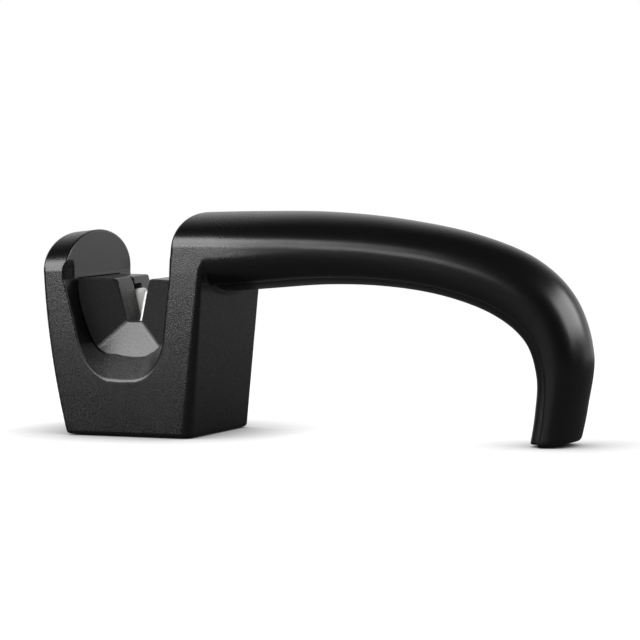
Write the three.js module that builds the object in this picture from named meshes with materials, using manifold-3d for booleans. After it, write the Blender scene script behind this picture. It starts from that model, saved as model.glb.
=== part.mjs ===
// Hand-held knife sharpener: a moulded head with crossed ceramic rods in a V slot, and an arched grip.
// Millimetres, X along the length with the head on the left, Y across, Z up from the table.

import * as THREE from 'three';
import { mergeVertices } from 'three/addons/utils/BufferGeometryUtils.js';
import Module from 'manifold-3d';

const wasm = await Module();
wasm.setup();

// Overall
const headSpan = 62.8;            // leftmost point of the left wall to the right face under the grip
const gripSpan = 137.6;           // right face under the grip to the outside of the bend
const crownHeight = 81.3;         // highest point of the grip

// Head shell
const rimHeight = 0.4;            // lower rim above the table
const rimChamfer = 0.6;
const baseHalfDepth = 27.5;       // half of the head's depth at the table
const shoulderFlare = 0.5;        // the half depth grows by this much up to where the left dome springs
const leftWallDrop = 7.7;         // apex of the left wall, at its channel side, below the crown
const leftDomeRise = 14.4;        // rise of the dome at the channel side
const leftDomeFall = 1.2;         // the dome's apex is lower at the free end by this much
const leftArcRadius = 293;        // the left face bows out in this radius, upright at the apex
const rightLean = 0.079;          // the right face leans out by this much for each mm of height
const rightLeanHeight = 56;       // height at which headSpan is measured
const rightCornerLow = 5.3;       // radius of the upright corners at the grip side, at the table
const rightCornerHigh = 2.8;      // and where the dome springs
const leftCorner = 1.2;           // radius of the upright corners at the free end
const leastCorner = 0.4;          // radius that a corner keeps when its outline is drawn in
const wall = 2.8;
const headLevels = 10;
const cavityLevels = 4;

// Channel between left wall and upright, and the well below it that seats the guides
const channelFromLeft = 28.8;     // leftmost point of the head to the middle of the slot
const channelLeft = 19.9;         // middle of the slot to each wall of the channel, at the guides' top
const channelRight = 20.9;
const channelLeftLean = 0.01;     // each wall opens by this much for each mm of height
const channelRightLean = 0.09;
const guideDrop = 24.9;           // top of the guides below the crown
const guideHeight = 28;           // top of the guides above the floor of the well
const wellFloorHalf = 11.4;
const wellBowRise = 14.6;         // the sides of the well bow out this far above its floor
const wellMiddleHalf = 16.9;
const wellTopHalf = 19.9;
const wellCorner = 4.5;
const wellBow = 40;               // radius of the bow
const wellHalfDepth = 18;         // the well reaches this far from the middle plane, front and rear
const floorThickness = 3;

// Bevelled scoops that lay the guides open, front and rear
const scoopDrop = 7.8;            // lowest point of the scoop's edge on the outer face, below the well
const scoopFade = 9.6;            // the bevel fades into the channel wall this far above the guides
const scoopSides = {              // slot to the scoop's edge, at the bottom corners and at the guides' top
  front: { leftLow: 12.2, leftHigh: 20.6, rightLow: 18.2, rightHigh: 21.4 },
  rear: { leftLow: 15.6, leftHigh: 20.1, rightLow: 15.6, rightHigh: 21.4 },
};
const scoopCorner = 8.5;
const scoopShoulder = 20;         // radius of the edge beside the guides' top
const scoopLap = 3;               // the bevel meets the well this far inside its end
const scoopShares = [-0.4, 0, 0.35, 0.7, 1.05];   // rings of the bevel: 0 is the outer face, 1 the well

// Guides: two mouldings that trap the rods between them
const slotDepth = 15.6;           // top of the guides to the floor of the slot
const slotFloorHalf = 2.7;
const slotLean = 0.246;           // each wall of the slot opens by this much for each mm of height
const slotLip = 1.2;              // chamfer on the slot's upper edges
const frontMouth = 12;            // front mouth of the slot to the middle plane, where it is mouthHalf wide
const rearMouth = 16.6;           // the rear mouth has a shallower funnel
const mouthHalf = 6;
const funnelSlope = 0.45;         // the funnel faces come forward by this much for each mm sideways
const rampSlope = 0.458;          // the ramp comes forward by this much for each mm down
const seamGap = 0.3;
const seatGap = 0.3;              // guides to the sides of the well

// Ceramic rods and their cushions
const rodRadius = 2.9;
const rodLeanDegrees = 11.5;
const rodTipRound = 2;            // the tip is domed, the foot only chamfered
const rodFootChamfer = 0.8;
const rodClearance = 0.06;        // running clearance in the pocket
const rodOffset = 5;              // rod axis to the middle plane
const rodHeadroom = 1.4;          // tip of the rod to the roof of its pocket
const bridgeThickness = 3.1;      // roof of the pocket to the top of the guide
const rodFootRise = 2.8;          // foot of the rod above the floor of the well
const rodCrossRise = 0.4;         // the rods' inner lines cross this far above the slot's floor
const seamInset = 0.3;            // the stepped seam between the guides clears the rods by this much
const cushionHeight = 1.4;

// Base
const rebateWall = 2;             // rim left around the plate
const cavityStep = 1.4;           // the hollow stands back from the rebate, which seats the plate
const plateThickness = 2.2;
const plateGap = 0.3;
const soleInset = 1.4;            // edge of the plate to the edge of the sole
const soleThickness = 1.4;

// Screws
const screwRadius = 1.3;
const screwLength = 9;
const screwHeadRadius = 2.5;
const screwHeadHeight = 1.5;
const screwGap = 0.3;             // screw to its hole and to its recess
const recessArm = 0.6;            // driver recess: shares of the head's radius and height
const recessSlot = 0.18;
const recessDepth = 0.5;
const bossRadius = 3.4;
const ribThickness = 2;           // rib between a boss under the head and the wall beside it
const baseScrewEdge = 8;          // base screws to the edge of the plan
const guideScrewSide = 3.4;       // guide screws to the corners of the well's floor
const guideScrewEnd = 9.5;        // guide screws to the ends of the well

// Grip
const gripLap = 3.4;              // the grip is drawn from this far inside the channel, which cuts it off
const gripWall = 2.6;
const linerDepth = 6.8;           // deepest section of the liner
const linerGap = 0.3;
const linerInset = 0.5;           // the liner's sides stand back from the shell by this much
const tongueHeight = 1.5;         // rib on the liner that drops into the shell's opening
const linerTailGap = 1;           // lower end of the liner above the table
const bossGap = 0.8;              // liner's rib to the bosses in the shell
const cavityShort = 0.25;         // the hollow and the rib stop this far before the last station
const tongueShort = 0.5;
const flankPowerHead = 2;         // the inner side of the grip is oval at the head and squarer at the tail
const flankPowerTail = 3.6;
const linerScrewStations = [1.15, 2.8, 4.4];

// Grip line, drawn on a frame from the grip's root to the outside of the bend, and from table to crown:
// outer point, inner point, and shares: half width of the head's, shoulder of the depth, liner of linerDepth
const gripStations = [
  { outer: [0.0000, 0.987], inner: [0.0000, 0.618], half: 1.0000, shoulder: 0.485, liner: 0.441 },
  { outer: [0.1750, 0.998], inner: [0.1812, 0.645], half: 0.9893, shoulder: 0.485, liner: 0.441 },
  { outer: [0.3571, 1.000], inner: [0.3634, 0.674], half: 0.8643, shoulder: 0.485, liner: 0.471 },
  { outer: [0.5384, 0.973], inner: [0.5188, 0.670], half: 0.7357, shoulder: 0.49, liner: 0.559 },
  { outer: [0.7196, 0.911], inner: [0.6554, 0.633], half: 0.6286, shoulder: 0.50, liner: 0.676 },
  { outer: [0.8643, 0.807], inner: [0.7714, 0.558], half: 0.5429, shoulder: 0.52, liner: 0.824 },
  { outer: [0.9580, 0.641], inner: [0.8464, 0.448], half: 0.4821, shoulder: 0.53, liner: 0.941 },
  { outer: [1.0000, 0.405], inner: [0.8741, 0.301], half: 0.4500, shoulder: 0.53, liner: 1.000 },
  { outer: [0.9857, 0.172], inner: [0.8714, 0.148], half: 0.4357, shoulder: 0.52, liner: 1.000 },
  { outer: [0.9696, 0.024], inner: [0.8580, -0.019], half: 0.4286, shoulder: 0.50, liner: 0.985 },
];
const stepsPerStation = 3;
const domeSteps = 7;
const flankSteps = 4;
const roundSides = 24;
const cornerSteps = 5;
const scoopSteps = 7;
const searchSteps = 400;
const holeTurn = 0.07;            // turns the facets of a hole off those of the boss around it

// Places worked out from the sizes above
const leftEnd = -(headSpan + gripSpan) / 2;
const gripStart = leftEnd + headSpan;
const gripEnd = gripStart + gripSpan;
const slotX = leftEnd + channelFromLeft;
const gripRoot = slotX + channelRight - gripLap;
const shoulderHalfDepth = baseHalfDepth + shoulderFlare;
const leftWallTop = crownHeight - leftWallDrop;
const leftSpring = leftWallTop - leftDomeRise;
const guideTop = crownHeight - guideDrop;
const wellFloor = guideTop - guideHeight;
const wellMiddle = wellFloor + wellBowRise;
const scoopFloor = wellFloor - scoopDrop;
const slotFloor = guideTop - slotDepth;
const gripShoulder = crownHeight * gripStations[0].outer[1] - shoulderRise(gripStations[0]);
const rightAtTable = gripStart - rightLean * rightLeanHeight;
const scoopTop = guideTop + scoopFade;
const scoopSeat = wellHalfDepth - scoopLap;
const pocketRoof = guideTop - bridgeThickness;
const rodTip = pocketRoof - rodHeadroom;
const rodFoot = wellFloor + rodFootRise;
const rodCrossing = slotFloor + rodCrossRise;
const seamOffset = rodOffset - rodRadius - seamInset;
const lastStation = gripStations.length - 1;
const far = 2 * (headSpan + gripSpan);

function shoulderRise(station) {
  return crownHeight * (station.outer[1] - station.inner[1]) * station.shoulder;
}

function leftFace(z) {
  const below = Math.max(leftWallTop - z, 0);
  return leftEnd + leftArcRadius - Math.sqrt(leftArcRadius ** 2 - below ** 2);
}

function rightFace(z) {
  return rightAtTable + rightLean * z;
}

function halfDepth(z) {
  const rise = Math.min(z / leftSpring, 1);
  return baseHalfDepth + (shoulderHalfDepth - baseHalfDepth) * rise;
}

// The corners at the grip side get tighter with height
function rightCorner(z) {
  return rightCornerLow + (rightCornerHigh - rightCornerLow) * Math.min(z / leftSpring, 1);
}

function channelLeftWall(z) {
  return channelLeft + channelLeftLean * (z - guideTop);
}

function channelRightWall(z) {
  return channelRight + channelRightLean * (z - guideTop);
}

// Solids
function solid(geometry) {
  const bare = geometry.index ? geometry.toNonIndexed() : geometry.clone();
  bare.deleteAttribute('normal');
  bare.deleteAttribute('uv');
  const welded = mergeVertices(bare, 1e-4);
  return new wasm.Manifold(new wasm.Mesh({
    numProp: 3,
    vertProperties: new Float32Array(welded.attributes.position.array),
    triVerts: new Uint32Array(welded.index.array),
  }));
}

function surface(body) {
  const mesh = body.getMesh();
  const geometry = new THREE.BufferGeometry();
  geometry.setAttribute('position', new THREE.BufferAttribute(mesh.vertProperties, 3));
  geometry.setIndex(new THREE.BufferAttribute(mesh.triVerts, 1));
  geometry.computeVertexNormals();
  return geometry;
}

function extrude(outline, depth) {
  const shape = new THREE.Shape(outline.map(([a, b]) => new THREE.Vector2(a, b)));
  return new THREE.ExtrudeGeometry(shape, { depth, bevelEnabled: false, steps: 1 });
}

function boxOutline(x, y, farX, farY) {
  return [[x, y], [farX, y], [farX, farY], [x, farY]];
}

// Outline in X and Y, carried up from one height to another
function prismUp(outline, from, to) {
  return solid(extrude(outline, to - from).translate(0, 0, from));
}

// Outline in X and Z, carried through the depth
function prismAcross(outline, from, to) {
  return solid(extrude(outline, to - from).rotateX(Math.PI / 2).translate(0, to, 0));
}

// Outline in Y and Z, carried along the length
function prismAlong(outline, from, to) {
  const turn = new THREE.Matrix4().makeBasis(
    new THREE.Vector3(0, 1, 0), new THREE.Vector3(0, 0, 1), new THREE.Vector3(1, 0, 0));
  return solid(extrude(outline, to - from).applyMatrix4(turn).translate(from, 0, 0));
}

// Skin through rings of equal point count, closed by a fan at each end
function loft(rings) {
  const count = rings[0].length;
  const points = rings.flat();
  const index = [];
  for (let ring = 0; ring + 1 < rings.length; ring += 1) {
    for (let i = 0; i < count; i += 1) {
      const a = ring * count + i;
      const b = ring * count + (i + 1) % count;
      index.push(a, b, a + count, b, b + count, a + count);
    }
  }
  [0, rings.length - 1].forEach((ring, end) => {
    const centre = points.length;
    const middle = new THREE.Vector3();
    rings[ring].forEach((point) => middle.addScaledVector(point, 1 / count));
    points.push(middle);
    for (let i = 0; i < count; i += 1) {
      const a = ring * count + i;
      const b = ring * count + (i + 1) % count;
      index.push(...(end ? [centre, a, b] : [centre, b, a]));
    }
  });
  const geometry = new THREE.BufferGeometry().setFromPoints(points);
  geometry.setIndex(index);
  return solid(facesOut(geometry));
}

function facesOut(geometry) {
  const position = geometry.attributes.position;
  const order = geometry.index.array;
  const corner = [new THREE.Vector3(), new THREE.Vector3(), new THREE.Vector3()];
  let volume = 0;
  for (let i = 0; i < order.length; i += 3) {
    corner.forEach((point, k) => point.fromBufferAttribute(position, order[i + k]));
    volume += corner[0].dot(corner[1].clone().cross(corner[2]));
  }
  if (volume < 0) {
    for (let i = 0; i < order.length; i += 3) {
      [order[i], order[i + 1]] = [order[i + 1], order[i]];
    }
  }
  return geometry;
}

const cylinderAxis = new THREE.Vector3(0, 1, 0);

// Round bar between two points
function bar(from, to, radius, facetTurn = 0) {
  const axis = to.clone().sub(from);
  const length = axis.length();
  const geometry = new THREE.CylinderGeometry(radius, radius, length, roundSides, 1, false, facetTurn);
  const turn = new THREE.Quaternion().setFromUnitVectors(cylinderAxis, axis.clone().normalize());
  const middle = from.clone().addScaledVector(axis, 0.5);
  return solid(geometry.applyQuaternion(turn).translate(middle.x, middle.y, middle.z));
}

function post(x, y, from, to, radius, facetTurn = 0) {
  return bar(new THREE.Vector3(x, y, from), new THREE.Vector3(x, y, to), radius, facetTurn);
}

function union(bodies) {
  return bodies.reduce((whole, body) => whole.add(body));
}

function cutAway(body, cutters) {
  return cutters.reduce((rest, cutter) => rest.subtract(cutter), body);
}

// Arc of a circle or ellipse as points, both ends included
function arc(centreA, centreB, radiusA, radiusB, start, end, steps) {
  return Array.from({ length: steps + 1 }, (_, i) => {
    const angle = start + (end - start) * i / steps;
    return [centreA + radiusA * Math.cos(angle), centreB + radiusB * Math.sin(angle)];
  });
}

// Polygon with each corner that has a radius rounded off: corners are [a, b, radius]
function rounded(corners, steps = cornerSteps) {
  return corners.flatMap(([a, b, radius], i) => {
    if (!radius) return [[a, b]];
    const here = new THREE.Vector2(a, b);
    const before = new THREE.Vector2(...corners.at(i - 1)).sub(here).normalize();
    const after = new THREE.Vector2(...corners[(i + 1) % corners.length]).sub(here).normalize();
    const half = Math.acos(THREE.MathUtils.clamp(before.dot(after), -1, 1)) / 2;
    const reach = radius / Math.tan(half);
    const start = here.clone().addScaledVector(before, reach);
    const end = here.clone().addScaledVector(after, reach);
    const inward = before.clone().add(after).normalize();
    const centre = here.clone().addScaledVector(inward, radius / Math.sin(half));
    const from = start.clone().sub(centre).angle();
    let turn = end.clone().sub(centre).angle() - from;
    turn -= 2 * Math.PI * Math.round(turn / (2 * Math.PI));
    return arc(centre.x, centre.y, radius, radius, from, from + turn, steps);
  });
}

// Plan of the head at a height, drawn in by an inset
function headPlan(z, inset) {
  const left = leftFace(z) + inset;
  const right = rightFace(z) - inset;
  const half = halfDepth(z) - inset;
  const leftRound = Math.max(leftCorner - inset, leastCorner);
  const rightRound = Math.max(rightCorner(z) - inset, leastCorner);
  return rounded([
    [left, -half, leftRound], [right, -half, rightRound], [right, half, rightRound], [left, half, leftRound],
  ]);
}

function headLoft(levels, insetAt) {
  return loft(levels.map((z) => headPlan(z, insetAt(z)).map(([x, y]) => new THREE.Vector3(x, y, z))));
}

function levelsBetween(from, to, count) {
  return Array.from({ length: count + 1 }, (_, i) => from + (to - from) * i / count);
}

// Grip line: a smooth curve through each value of the stations
function stationCurve(pick) {
  return new THREE.CatmullRomCurve3(gripStations.map(pick), false, 'catmullrom', 0.5);
}

const gripFrame = ([along, up]) => new THREE.Vector3(
  gripRoot + (gripEnd - gripRoot) * along, 0, crownHeight * up);
const outerLine = stationCurve((station) => gripFrame(station.outer));
const innerLine = stationCurve((station) => gripFrame(station.inner));
const sectionSizes = ({ half, shoulder, liner }) => new THREE.Vector3(
  half * shoulderHalfDepth, shoulder, liner * linerDepth);
const sectionLine = stationCurve(sectionSizes);

function gripSection(station) {
  const along = station / lastStation;
  const outer = outerLine.getPoint(along);
  const inner = innerLine.getPoint(along);
  const [half, shoulder, liner] = sectionLine.getPoint(along).toArray();
  const depth = outer.distanceTo(inner);
  const inward = inner.clone().sub(outer).normalize();
  const place = (y, n) => outer.clone().addScaledVector(inward, n).setY(y);
  const power = flankPower(along);
  const flank = (share) => (1 - THREE.MathUtils.clamp(share, 0, 1) ** power) ** (1 / power);
  const shoulderDepth = depth * shoulder;
  const parting = depth - liner;
  return { outer, inner, half, depth, inward, place, flank, shoulderDepth, parting };
}

function flankPower(along) {
  return flankPowerHead + (flankPowerTail - flankPowerHead) * along;
}

// Half width of a section below its shoulder
function flankHalf(section, n) {
  return section.half * section.flank((n - section.shoulderDepth) / (section.depth - section.shoulderDepth));
}

function bothSides(points, place) {
  const left = points.map(([y, n]) => place(-y, n));
  const right = points.map(([y, n]) => place(y, n)).reverse();
  return [...left, ...right];
}

// Shell section from the crown down to the parting with the liner, drawn in by an inset
function shellRing(section, inset, below) {
  const half = section.half - inset;
  const rise = section.shoulderDepth - inset;
  const dome = levelsBetween(0, 1, domeSteps).slice(1).map((share) => {
    const angle = share * Math.PI / 2;
    return [half * Math.sin(angle), section.shoulderDepth - rise * Math.cos(angle)];
  });
  const flankEnd = section.parting - inset / 2;
  const flank = levelsBetween(section.shoulderDepth, flankEnd, flankSteps).slice(1)
    .map((n) => [flankHalf(section, n) - inset, n]);
  const open = below ? [[flank.at(-1)[0], section.parting + below]] : [];
  return [...bothSides([...dome, ...flank, ...open], section.place), section.place(0, inset)];
}

function linerRing(section) {
  const top = section.parting + linerGap;
  const levels = levelsBetween(0, 1, flankSteps).map((share) => Math.sin(share * Math.PI / 2));
  const points = levels.map((share) => {
    const n = top + (section.depth - top) * share;
    return [Math.max(flankHalf(section, n) - linerInset, 0), n];
  }).filter(([y]) => y > 0);
  return [...bothSides(points, section.place), section.place(0, top)];
}

function tongueRing(section) {
  const half = flankHalf(section, section.parting) - gripWall - linerGap;
  const top = section.parting - tongueHeight;
  const bottom = section.parting + 2 * linerGap;
  return [[-half, top], [half, top], [half, bottom], [-half, bottom]].map(([y, n]) => section.place(y, n));
}

function sections(from, to) {
  const count = Math.round((to - from) * stepsPerStation);
  return levelsBetween(from, to, count).map(gripSection);
}

const aboveTable = prismUp(boxOutline(-far, -far, far, far), 0, far);

// Channel, well and scoops, cut through the head
function aroundSlot(outline) {
  return outline.map(([x, z, ...rest]) => [slotX + x, z, ...rest]);
}

function mirrored(side) {
  return side.map(([x, ...rest]) => [-x, ...rest]).reverse();
}

function wellOutline(gap) {
  const side = [
    [wellFloorHalf - gap, wellFloor, wellCorner], [wellMiddleHalf - gap, wellMiddle, wellBow],
    [wellTopHalf - gap, guideTop, 0],
  ];
  return rounded(aroundSlot([...mirrored(side), ...side]));
}

function channelCut() {
  const top = crownHeight + wall;
  return prismAcross(aroundSlot([
    [-channelLeft, guideTop - seatGap], [channelRight, guideTop - seatGap],
    [channelRightWall(top), top], [-channelLeftWall(top), top],
  ]), -far, far);
}

// Edge of a scoop drawn in towards the outline of the well: share 0 is the outer face, 1 is the well
function scoopRing(sides, share, y) {
  const middle = (low, high) => low + (high - low) * (wellMiddle - scoopFloor) / (guideTop - scoopFloor);
  const edge = rounded(aroundSlot([
    [-channelLeftWall(scoopTop), scoopTop, 0], [-sides.leftHigh, guideTop, scoopShoulder],
    [-middle(sides.leftLow, sides.leftHigh), wellMiddle, wellBow], [-sides.leftLow, scoopFloor, scoopCorner],
    [sides.rightLow, scoopFloor, scoopCorner], [middle(sides.rightLow, sides.rightHigh), wellMiddle, wellBow],
    [sides.rightHigh, guideTop, scoopShoulder], [channelRightWall(scoopTop), scoopTop, 0],
  ]), scoopSteps);
  const seat = rounded(aroundSlot([
    [-channelLeftWall(scoopTop), scoopTop, 0], [-wellTopHalf, guideTop, scoopShoulder],
    [-wellMiddleHalf, wellMiddle, wellBow], [-wellFloorHalf, wellFloor, wellCorner],
    [wellFloorHalf, wellFloor, wellCorner], [wellMiddleHalf, wellMiddle, wellBow],
    [wellTopHalf, guideTop, scoopShoulder], [channelRightWall(scoopTop), scoopTop, 0],
  ]), scoopSteps);
  return edge.map(([x, z], i) => new THREE.Vector3(
    x + (seat[i][0] - x) * share, y, z + (seat[i][1] - z) * share));
}

function scoopCut(sides, end) {
  const face = halfDepth(scoopFloor);
  const bevelDepth = face - scoopSeat;
  return loft(scoopShares.map((share) => scoopRing(sides, share, end * (face - bevelDepth * share))));
}

function scoopCuts() {
  return [scoopCut(scoopSides.front, -1), scoopCut(scoopSides.rear, 1)];
}

// Outline of the left wall seen from the end: its dome is lower at the free end
function leftWallRing(x) {
  const share = (x - leftEnd) / (slotX - channelLeft - leftEnd);
  const rise = leftDomeRise - leftDomeFall * (1 - share);
  const outline = [
    ...arc(0, leftSpring, shoulderHalfDepth, rise, 0, Math.PI, 2 * domeSteps),
    [-shoulderHalfDepth - wall, leftSpring - wall], [-shoulderHalfDepth - wall, -wall],
    [shoulderHalfDepth + wall, -wall], [shoulderHalfDepth + wall, leftSpring - wall],
  ];
  return outline.map(([y, z]) => new THREE.Vector3(x, y, z));
}

function mainShell() {
  const levels = [rimHeight, ...levelsBetween(rimHeight + rimChamfer, leftWallTop + wall, headLevels)];
  const block = headLoft(levels, (z) => (z === rimHeight ? rimChamfer : 0));
  const leftPart = block.intersect(loft([leftWallRing(leftEnd - wall), leftWallRing(slotX)]));
  const rightPart = block.intersect(prismAcross(
    [[slotX - wall, -wall], [far, -wall], [far, gripShoulder], [slotX - wall, gripShoulder]], -far, far));
  const grip = loft(sections(0, lastStation).map((section) => shellRing(section, 0, 0)));
  const outside = union([leftPart, rightPart, grip]).intersect(aboveTable);
  const opened = cutAway(outside, [
    channelCut(), prismAcross(wellOutline(0), -wellHalfDepth, wellHalfDepth), ...scoopCuts(),
  ]);
  const hollow = cutAway(opened, [headCavity(), uprightCavity(), gripCavity(), plateRebate()]);
  const bossed = union([hollow, ...baseBosses(), ...linerBosses()]);
  return cutAway(bossed, [...baseScrewHoles(), ...guideScrewHoles(), ...linerScrewHoles()]);
}

// Hollow under the floor of the well; its roof follows the sloping ledges of the scoops
const cavityInset = rebateWall + cavityStep;

function headCavity() {
  const roof = wellFloor - floorThickness;
  const ledgeRoof = scoopFloor - 2 * wall;
  const ledge = halfDepth(scoopFloor);
  const profile = [
    [-far, -wall], [far, -wall], [far, ledgeRoof], [ledge, ledgeRoof], [scoopSeat - floorThickness, roof],
    [floorThickness - scoopSeat, roof], [-ledge, ledgeRoof], [-far, ledgeRoof],
  ];
  const levels = levelsBetween(-wall, roof + wall, cavityLevels);
  return headLoft(levels, () => cavityInset).intersect(prismAlong(profile, -far, far));
}

function uprightCavity() {
  const low = scoopFloor - wall;
  const high = gripShoulder - wall;
  const outline = [
    [slotX + scoopSides.front.rightLow + wall, low], [rightFace(low) - wall, low],
    [rightFace(high) - wall, high], [slotX + channelRightWall(high) + wall, high],
    [slotX + scoopSides.front.rightHigh + wall, guideTop],
  ];
  const half = halfDepth(low) - wall;
  return prismAcross(outline, -half, half);
}

function gripCavity() {
  const start = stationAtX(slotX + channelRightWall(crownHeight) + gripWall);
  const end = lastStation - cavityShort;
  const rings = sections(start, end).map((section) => shellRing(section, gripWall, tongueHeight));
  return loft(rings);
}

// First station, counted in steps along the grip, whose crown lies at a given X
function stationAtX(x) {
  const steps = levelsBetween(0, lastStation, searchSteps);
  return steps.find((station) => outerLine.getPoint(station / lastStation).x >= x);
}

// Base plate, sole and their screws
function basePlan(inset) {
  return headPlan(rimHeight, inset);
}

function plateRebate() {
  return prismUp(basePlan(rebateWall), -wall, soleThickness + plateThickness);
}

const baseMiddle = (leftFace(rimHeight) + rightFace(rimHeight)) / 2;

// Four places around a middle, as far from it as given along and across
function gridPlaces(middleX, along, across) {
  return [-1, 1].flatMap((side) => [-1, 1].map((end) => [middleX + end * along, side * across]));
}

const baseScrewPlaces = gridPlaces(
  baseMiddle, rightFace(rimHeight) - baseMiddle - baseScrewEdge, baseHalfDepth - baseScrewEdge);
const guideScrewPlaces = gridPlaces(slotX, wellFloorHalf - guideScrewSide, wellHalfDepth - guideScrewEnd);

// A screw points up from the underside of its head
function screwHoles(places, seat, radius, length) {
  return places.map(([x, y]) => post(x, y, seat, seat + length, radius, holeTurn));
}

function upScrew(x, y, seat) {
  const head = post(x, y, seat - screwHeadHeight, seat, screwHeadRadius);
  const shank = post(x, y, seat - screwHeadHeight / 2, seat + screwLength, screwRadius);
  return head.add(shank).subtract(driveRecess(new THREE.Vector3(x, y, seat - screwHeadHeight)));
}

// Crossed recess for a driver, open downwards
function driveRecess(foot) {
  const arm = recessArm * screwHeadRadius;
  const slot = recessSlot * screwHeadRadius;
  const deep = recessDepth * screwHeadHeight;
  const cross = [
    [-arm, -slot], [-slot, -slot], [-slot, -arm], [slot, -arm], [slot, -slot], [arm, -slot],
    [arm, slot], [slot, slot], [slot, arm], [-slot, arm], [-slot, slot], [-arm, slot],
  ];
  return prismUp(cross.map(([x, y]) => [foot.x + x, foot.y + y]), foot.z - deep, foot.z + deep);
}

const plateTop = soleThickness + plateThickness;
const baseScrewSeat = plateTop - screwHeadHeight / 2;
const guideScrewSeat = wellFloor - floorThickness;
const holeRadius = screwRadius + screwGap;

function baseBosses() {
  const top = wellFloor - floorThickness / 2;
  return baseScrewPlaces.map(([x, y]) => {
    const side = Math.sign(y) * (baseHalfDepth - wall / 2);
    const rib = prismUp(boxOutline(x - ribThickness / 2, y, x + ribThickness / 2, side), plateTop, top);
    return cutAway(post(x, y, plateTop, top, bossRadius).add(rib), scoopCuts());
  });
}

function baseScrewHoles() {
  return screwHoles(baseScrewPlaces, plateTop - wall, holeRadius, screwLength + wall);
}

function guideScrewHoles() {
  return screwHoles(guideScrewPlaces, guideScrewSeat - wall, holeRadius, floorThickness + 2 * wall);
}

function basePlate() {
  const plate = prismUp(basePlan(rebateWall + plateGap), soleThickness, plateTop);
  const holes = screwHoles(baseScrewPlaces, 0, holeRadius, 2 * plateTop);
  const recesses = screwHoles(baseScrewPlaces, 0, screwHeadRadius + screwGap, baseScrewSeat);
  return cutAway(plate, [...holes, ...recesses]);
}

function baseSole() {
  const sole = prismUp(basePlan(rebateWall + plateGap + soleInset), 0, soleThickness);
  const windows = screwHoles(baseScrewPlaces, -wall, screwHeadRadius + 2 * screwGap, 2 * wall);
  return cutAway(sole, windows);
}

// Rods: the right one lies in front, the left one is the same turned half round about the slot
const rodLean = THREE.MathUtils.degToRad(rodLeanDegrees);
const rodUp = new THREE.Vector3(Math.sin(rodLean), 0, Math.cos(rodLean));
const rodFootX = rodRadius / Math.cos(rodLean) - (rodCrossing - rodFoot) * Math.tan(rodLean);

function alongRod(height) {
  const up = (height - rodFoot) / Math.cos(rodLean);
  return new THREE.Vector3(slotX + rodFootX, -rodOffset, rodFoot).addScaledVector(rodUp, up);
}

function rod() {
  const length = (rodTip - rodFoot) / Math.cos(rodLean);
  const core = rodRadius - rodTipRound;
  const tip = arc(core, length - rodTipRound, rodTipRound, rodTipRound, 0, Math.PI / 2, cornerSteps);
  const foot = [[0, 0], [rodRadius - rodFootChamfer, 0], [rodRadius, rodFootChamfer]];
  const profile = [...foot, ...tip, [0, length]];
  const turned = new THREE.LatheGeometry(profile.map(([r, h]) => new THREE.Vector2(r, h)), roundSides);
  const place = alongRod(rodFoot);
  const turn = new THREE.Quaternion().setFromUnitVectors(cylinderAxis, rodUp);
  return solid(facesOut(mergedIndex(turned.applyQuaternion(turn).translate(place.x, place.y, place.z))));
}

function mergedIndex(geometry) {
  geometry.deleteAttribute('normal');
  geometry.deleteAttribute('uv');
  return mergeVertices(geometry, 1e-4);
}

function rodCushion() {
  const top = alongRod(rodFoot).addScaledVector(rodUp, -rodClearance);
  return bar(top.clone().addScaledVector(rodUp, -cushionHeight), top, rodRadius);
}

function rodPocket() {
  const foot = alongRod(rodFoot).addScaledVector(rodUp, -cushionHeight - rodClearance);
  const radius = (rodRadius + rodClearance) / Math.cos(Math.PI / roundSides);
  return bar(foot, alongRod(pocketRoof), radius);
}

// Half a turn about the upright line through the middle of the slot
function turnedRound(body) {
  return body.translate([-slotX, 0, 0]).rotate([0, 0, 180]).translate([slotX, 0, 0]);
}

// Guide as seen from the front: funnel faces and ramp before the slot, a stepped seam behind
function guide(mouthDepth) {
  const block = prismAcross(wellOutline(seatGap), -wellHalfDepth, wellHalfDepth);
  const seam = [
    [-far, -far], [far, -far], [far, -seamOffset - seamGap / 2], [-seamGap / 2, -seamOffset - seamGap / 2],
    [-seamGap / 2, seamOffset - seamGap / 2], [-far, seamOffset - seamGap / 2],
  ].map(([x, y]) => [slotX + x, y]);
  const half = block.intersect(prismUp(seam, 0, crownHeight));
  return cutAway(half, [slotCut(), funnelCut(mouthDepth), rodPocket(), ...guideThreads()]);
}

function slotHalf(z) {
  return slotFloorHalf + slotLean * (z - slotFloor);
}

function slotCut() {
  const lipFoot = guideTop - slotLip;
  const top = guideTop + wall;
  const lipHalf = slotHalf(lipFoot) + slotLip;
  const side = [
    [slotFloorHalf, slotFloor], [slotHalf(lipFoot), lipFoot], [lipHalf, guideTop], [lipHalf, top],
  ];
  return prismAcross(aroundSlot([...mirrored(side), ...side]), -far, far);
}

// What lies in front of both funnel faces and of the ramp is cut away
function funnelCut(mouthDepth) {
  const reach = 2 * wellTopHalf;
  const valley = -mouthDepth + funnelSlope * mouthHalf;
  const faces = [[-reach, -far], [reach, -far], [reach, valley - funnelSlope * reach], [0, valley],
    [-reach, valley - funnelSlope * reach]].map(([x, y]) => [slotX + x, y]);
  const rampTop = -mouthDepth + funnelSlope * (mouthHalf - slotFloorHalf);
  const rampAt = (z) => rampTop - rampSlope * (slotFloor - z);
  const ramp = [[-far, 0], [rampAt(0), 0], [rampAt(crownHeight), crownHeight], [-far, crownHeight]];
  return prismUp(faces, 0, crownHeight).intersect(prismAlong(ramp, -far, far));
}

function guideThreads() {
  const front = guideScrewPlaces.filter(([, y]) => y < 0);
  return screwHoles(front, wellFloor - wall, holeRadius, screwLength - floorThickness + wall + screwGap);
}

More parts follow.
